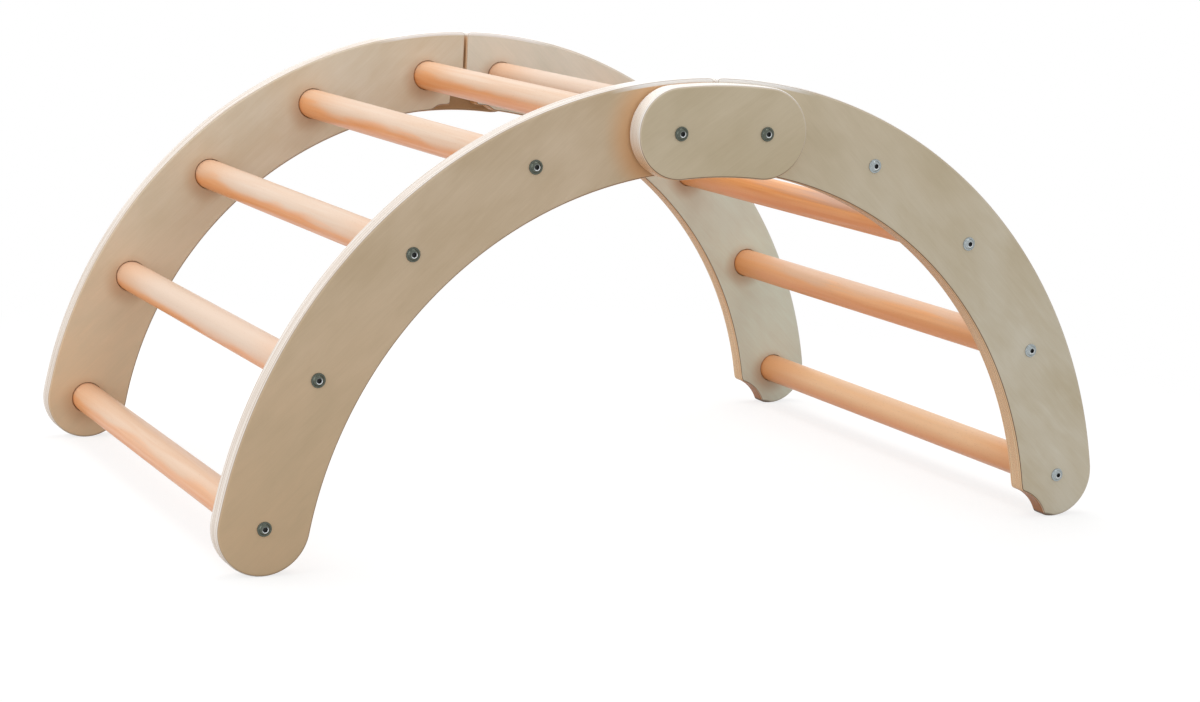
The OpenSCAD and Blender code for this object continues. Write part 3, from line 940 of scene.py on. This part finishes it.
def small_parts_finish(name, light, dark, metallic, rough_low, rough_high, scale,
                       is_screw=False):
    """A finish for small parts: a noise with features 1 / scale metres long mixes two tones
    and two shines. A screw's top has a painted glint, and its socket painted shade, a dark film."""
    material, tree = new_material(name)
    place = add(tree, "TexCoord", out="Object")
    mottle = add(tree, "TexNoise", {"Vector": place, "Scale": scale, "Detail": 3.0})
    colour = add(tree, "Mix", {0: mottle, 6: light, 7: dark}, **COLOURS)
    rough = add(tree, "MapRange", {0: mottle, 3: rough_low, 4: rough_high})
    if is_screw:
        # painted glint on the top of the head
        top = add(tree, "Attribute", out="Fac", attribute_name="on_top")
        colour = add(tree, "Mix", {0: top, 6: colour, 7: GLINT_METAL}, **COLOURS)
    surface = add(tree, "BsdfPrincipled", {"Base Color": colour, "Roughness": rough,
                                           "Metallic": metallic})
    if is_screw:
        # painted shade: a dark, dull film inside the socket
        shade_film = add(tree, "BsdfPrincipled", {"Base Color": SOCKET_SHADE_TONE, "Roughness": 0.5})
        inside = add(tree, "Attribute", out="Fac", attribute_name="in_socket")
        surface = add(tree, "MixShader", [inside, surface, shade_film])
    add(tree, "OutputMaterial", {"Surface": surface})
    print(f"{name}: {len(tree.nodes)} nodes")
    return material


# %% Finishes on the small parts
zinc = {kind: small_parts_finish(f"zinc_plated_steel_{kind}", light, dark, 1.0, 0.2, 0.36, 900.0,
                                 is_screw=True)
        for kind, light, dark in (("dull", "#6C7168", "#464B44"), ("bright", "#BCC4C6", "#7E8688"))}
nylon = small_parts_finish("moulded_nylon", "#ECEAE2", "#DEDBD0", 0.0, 0.35, 0.5, 300.0)
brass = small_parts_finish("turned_brass", "#D8B464", "#B8924A", 1.0, 0.25, 0.4, 700.0)
# two copies of one metal: the left half's and the pivot screws get the one painted with darker
# reflections
for piece in screw_pieces:
    piece.data.materials.append(zinc["bright" if "right_screws" in piece.name else "dull"])
for name, node in frame["nodes"].items():
    kept = nylon if name.endswith("spacer") else brass if name.endswith("inserts") else None
    if kept:
        node.data.materials.clear()
        node.data.materials.append(kept)

# %% [markdown]
# ## Floor and world
# The product stands on a plain white floor with white all round. A floor that is white for the
# light as well would throw too much of it up at the boards, so only the rays that see the
# backdrop itself get its full white, and the others meet a plain, warm grey one.

# %% Floor
FLOOR_HALF = 6.0            # metres from the middle of the floor to its edge


def seen_directly(tree):
    """1 for camera, mirror and glass rays, which see the backdrop's own brightness."""
    ray = add(tree, "LightPath").node.outputs
    both = add(tree, "Math", [ray["Is Camera Ray"], ray["Is Glossy Ray"]], operation="MAXIMUM")
    return add(tree, "Math", [both, ray["Is Transmission Ray"]], operation="MAXIMUM")


corners = np.array([(-1, -1, 0), (1, -1, 0), (1, 1, 0), (-1, 1, 0)]) * FLOOR_HALF
floor_mesh = bpy.data.meshes.new("floor")
floor_mesh.from_pydata(corners.tolist(), [], [(0, 1, 2, 3)])
floor = bpy.data.objects.new("floor", floor_mesh)
bpy.context.scene.collection.objects.link(floor)
floor_paint, tree = new_material("floor_white")
plain = add(tree, "BsdfDiffuse", {"Color": "#BCB5AD"})
shaded = add(tree, "BsdfDiffuse", {"Color": "#959595"})
glow = add(tree, "Emission", {"Color": "#FFFFFF", "Strength": 0.75})
near = add(tree, "AddShader", [shaded, glow])
white = add(tree, "Emission", {"Color": "#FFFFFF", "Strength": 1.0})
from_object = add(tree, "VectorMath", [add(tree, "TexCoord", out="Object")], "Value",
                  operation="LENGTH")
fade = add(tree, "MapRange", [from_object, 0.6, 1.1], **SMOOTH)
bright = add(tree, "MixShader", [fade, near, white])
add(tree, "OutputMaterial", {"Surface": add(tree, "MixShader",
                                            [seen_directly(tree), plain, bright])})
floor_mesh.materials.append(floor_paint)
print("floor:", 2 * FLOOR_HALF, "m wide,", len(tree.nodes), "nodes")

# %% World
world = bpy.data.worlds.new("white_studio")
bpy.context.scene.world = world
world.use_nodes = True
tree = world.node_tree
tree.nodes.clear()
fill = add(tree, "Background", {"Color": "#FFFFFF", "Strength": 0.66})
backdrop = add(tree, "Background", {"Color": "#FFFFFF", "Strength": 1.0})
add(tree, "OutputWorld", {"Surface": add(tree, "MixShader",
                                         [seen_directly(tree), fill, backdrop])})
print("world:", len(tree.nodes), "nodes")

# %% [markdown]
# ## Lamps
# A product studio lights with large soft boxes. Two square area lamps do the same: one
# overhead, and a weaker one from the left, which models the boards' edges.

# %% Lamps
LAMP_SIZE = 1.5             # metres


def soft_lamp(name, place, aim, power):
    """A square area lamp at a place, turned towards a point."""
    lamp = bpy.data.lights.new(name, "AREA")
    lamp.size, lamp.energy = LAMP_SIZE, power
    holder = bpy.data.objects.new(name, lamp)
    holder.location = place
    holder.rotation_euler = (Vector(aim) - Vector(place)).to_track_quat("-Z", "Y").to_euler()
    bpy.context.scene.collection.objects.link(holder)
    print(f"{name}: {power} W")


soft_lamp("overhead", (0.1, 0.3, 1.9), (0, 0.05, 0.2), 17)
soft_lamp("from_the_left", (-1.7, 0.0, 0.8), (0, 0.0, 0.2), 11)

# %% [markdown]
# ## Camera
# The camera stands where the photographer stood, found by fitting the arcs' circles, the
# screws and the dowels to the picture: 26.9 degrees to the left of straight on, 10.3 degrees
# up, with a small roll. A Track To constraint could aim it, but has no roll, so its three axes
# are worked out and put into its matrix.

# %% Camera
AZIMUTH, ELEVATION, ROLL = (math.radians(a) for a in (-26.862, 10.323, 2.973))
CAMERA_PLACE, LENS, SENSOR = (-1.163032, -2.389371, 0.618969), 76.702, 36.0
back = Vector((math.sin(AZIMUTH) * math.cos(ELEVATION), -math.cos(AZIMUTH) * math.cos(ELEVATION),
               math.sin(ELEVATION)))
level = (-back).cross(Vector((0, 0, 1))).normalized()
upright = level.cross(-back)
right = math.cos(ROLL) * level + math.sin(ROLL) * upright
up = math.cos(ROLL) * upright - math.sin(ROLL) * level
camera_data = bpy.data.cameras.new("camera")
camera_data.lens, camera_data.sensor_width = LENS, SENSOR
camera = bpy.data.objects.new("camera", camera_data)
turn = Matrix((right, up, back)).transposed().to_4x4()
camera.matrix_world = Matrix.Translation(CAMERA_PLACE) @ turn
bpy.context.scene.collection.objects.link(camera)
bpy.context.scene.camera = camera
bpy.context.scene.view_settings.view_transform = "Standard"
print("camera:", LENS, "mm lens, at", CAMERA_PLACE)
